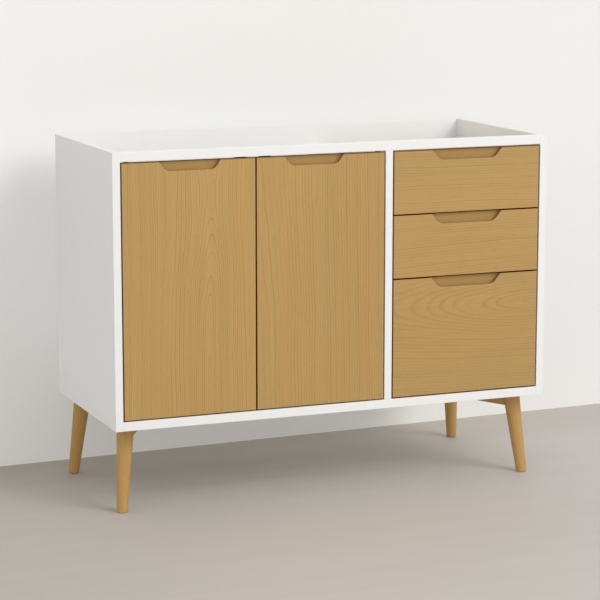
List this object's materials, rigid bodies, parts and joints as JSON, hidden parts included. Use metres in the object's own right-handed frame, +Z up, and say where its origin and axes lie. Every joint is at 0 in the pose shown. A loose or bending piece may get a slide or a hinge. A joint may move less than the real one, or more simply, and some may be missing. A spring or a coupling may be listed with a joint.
{
  "type": "kitchen base cabinet",
  "caption": "Kitchen base cabinet without its worktop: white open-topped carcass, flush wooden doors and drawers with recessed finger pulls, on splayed round wooden legs.",
  "frame": {"origin": "on the floor, under the middle of the cabinet's box", "axes": "+X along the cabinet's width, to the right as seen from the front; +Y towards the back; +Z up"},
  "size_m": [1.13, 0.48, 0.87],
  "materials": {
    "white_lacquer": "board with a smooth satin white lacquer",
    "door_wood": "matt oiled wood veneer, grain upright",
    "drawer_wood": "matt oiled wood veneer, grain level",
    "leg_wood": "matt oiled solid wood",
    "birch_ply": "clear lacquered ply",
    "zinc_steel": "bright zinc plate",
    "bush_brass": "plain turned brass",
    "catch_plastic": "light grey moulded plastic"
  },
  "bodies": {
    "carcass": {"left_side_panel": "white_lacquer", "right_side_panel": "white_lacquer", "centre_divider": "white_lacquer", "bottom_panel": "white_lacquer", "front_top_rail": "white_lacquer", "back_panel": "white_lacquer", "shelf": "white_lacquer", "shelf_pin_front_left": "zinc_steel", "shelf_pin_front_right": "zinc_steel", "shelf_pin_back_left": "zinc_steel", "shelf_pin_back_right": "zinc_steel", "leg_front_left": "leg_wood", "leg_front_right": "leg_wood", "leg_back_left": "leg_wood", "leg_back_right": "leg_wood", "leg_bar_front_left": "leg_wood", "leg_bar_front_right": "leg_wood", "leg_bar_back_left": "leg_wood", "leg_bar_back_right": "leg_wood", "left_door_bottom_bush": "bush_brass", "left_door_top_bush": "bush_brass", "right_door_bottom_bush": "bush_brass", "right_door_top_bush": "bush_brass", "left_door_catch": "catch_plastic", "right_door_catch": "catch_plastic", "top_drawer_outer_slide_left": "zinc_steel", "top_drawer_outer_slide_right": "zinc_steel", "middle_drawer_outer_slide_left": "zinc_steel", "middle_drawer_outer_slide_right": "zinc_steel", "bottom_drawer_outer_slide_left": "zinc_steel", "bottom_drawer_outer_slide_right": "zinc_steel"},
    "left_door": {"left_door_panel": "door_wood", "left_door_bottom_pin": "zinc_steel", "left_door_top_pin": "zinc_steel", "left_door_strike": "zinc_steel"},
    "right_door": {"right_door_panel": "door_wood", "right_door_bottom_pin": "zinc_steel", "right_door_top_pin": "zinc_steel", "right_door_strike": "zinc_steel"},
    "top_drawer": {"top_drawer_front": "drawer_wood", "top_drawer_left_side": "birch_ply", "top_drawer_right_side": "birch_ply", "top_drawer_back": "birch_ply", "top_drawer_bottom": "birch_ply", "top_drawer_inner_slide_left": "zinc_steel", "top_drawer_inner_slide_right": "zinc_steel"},
    "middle_drawer": {"middle_drawer_front": "drawer_wood", "middle_drawer_left_side": "birch_ply", "middle_drawer_right_side": "birch_ply", "middle_drawer_back": "birch_ply", "middle_drawer_bottom": "birch_ply", "middle_drawer_inner_slide_left": "zinc_steel", "middle_drawer_inner_slide_right": "zinc_steel"},
    "bottom_drawer": {"bottom_drawer_front": "drawer_wood", "bottom_drawer_left_side": "birch_ply", "bottom_drawer_right_side": "birch_ply", "bottom_drawer_back": "birch_ply", "bottom_drawer_bottom": "birch_ply", "bottom_drawer_inner_slide_left": "zinc_steel", "bottom_drawer_inner_slide_right": "zinc_steel"}
  },
  "joints": [
    {"name": "left_door_hinge", "type": "hinge", "parent": "carcass", "child": "left_door", "pos_m": [-0.52805, -0.231, 0.235], "axis": [0, 0, -1], "range_deg": [0, 90]},
    {"name": "right_door_hinge", "type": "hinge", "parent": "carcass", "child": "right_door", "pos_m": [0.10805, -0.231, 0.235], "axis": [0, 0, 1], "range_deg": [0, 90]},
    {"name": "top_drawer_slide", "type": "slide", "parent": "carcass", "child": "top_drawer", "axis": [0, -1, 0], "range_m": [0, 0.3]},
    {"name": "middle_drawer_slide", "type": "slide", "parent": "carcass", "child": "middle_drawer", "axis": [0, -1, 0], "range_m": [0, 0.3]},
    {"name": "bottom_drawer_slide", "type": "slide", "parent": "carcass", "child": "bottom_drawer", "axis": [0, -1, 0], "range_m": [0, 0.3]}
  ]
}
